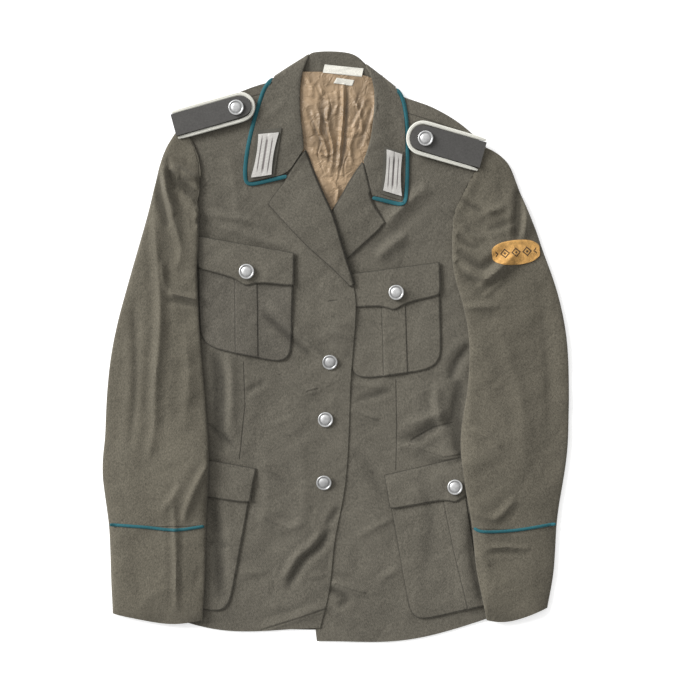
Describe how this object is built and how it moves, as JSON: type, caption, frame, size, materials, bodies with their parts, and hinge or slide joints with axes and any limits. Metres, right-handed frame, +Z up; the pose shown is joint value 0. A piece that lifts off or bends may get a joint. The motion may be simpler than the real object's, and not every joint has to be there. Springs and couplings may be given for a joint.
{
  "type": "dress uniform jacket",
  "caption": "Olive grey wool dress uniform jacket laid flat and buttoned, with a piped collar, flap pockets, corded shoulder boards and long sleeves.",
  "frame": {"origin": "middle of the overall outline, on the plane the jacket lies on", "axes": "+X to the wearer's left, +Y from the hem to the collar, +Z up, away from the surface it lies on, out of the front of the jacket"},
  "size_m": [0.5842, 0.739, 0.0194],
  "materials": {
    "wool": "matte",
    "piping_teal": "matte",
    "lining_satin": "satin",
    "label_white": "matte",
    "felt_dark": "matte",
    "braid_pale": "satin",
    "cord_white": "matte",
    "patch_ochre": "matte",
    "button_metal": "satin"
  },
  "bodies": {
    "root": {"back": "wool", "front_right": "wool", "front_left": "wool", "lapel_right": "wool", "lapel_left": "wool", "collar": "wool", "sleeve_right": "wool", "sleeve_left": "wool", "pocket_chest_right": "wool", "pocket_chest_left": "wool", "pocket_hip_right": "wool", "pocket_hip_left": "wool", "flap_chest_right": "wool", "flap_chest_left": "wool", "flap_hip_right": "wool", "flap_hip_left": "wool", "lining": "lining_satin", "label_upper": "label_white", "label_lower": "label_white", "collar_piping": "piping_teal", "cuff_piping_right": "piping_teal", "cuff_piping_left": "piping_teal", "collar_tab_right": "felt_dark", "collar_tab_left": "felt_dark", "tab_braid_right": "braid_pale", "tab_braid_left": "braid_pale", "shoulder_board_right": "felt_dark", "shoulder_board_left": "felt_dark", "board_cord_right": "cord_white", "board_cord_left": "cord_white", "arm_patch": "patch_ochre", "button_front_upper": "button_metal", "button_front_middle": "button_metal", "button_front_lower": "button_metal", "button_chest_right": "button_metal", "button_chest_left": "button_metal", "button_hip_right": "button_metal", "button_hip_left": "button_metal", "button_shoulder_right": "button_metal", "button_shoulder_left": "button_metal"}
  },
  "joints": []
}
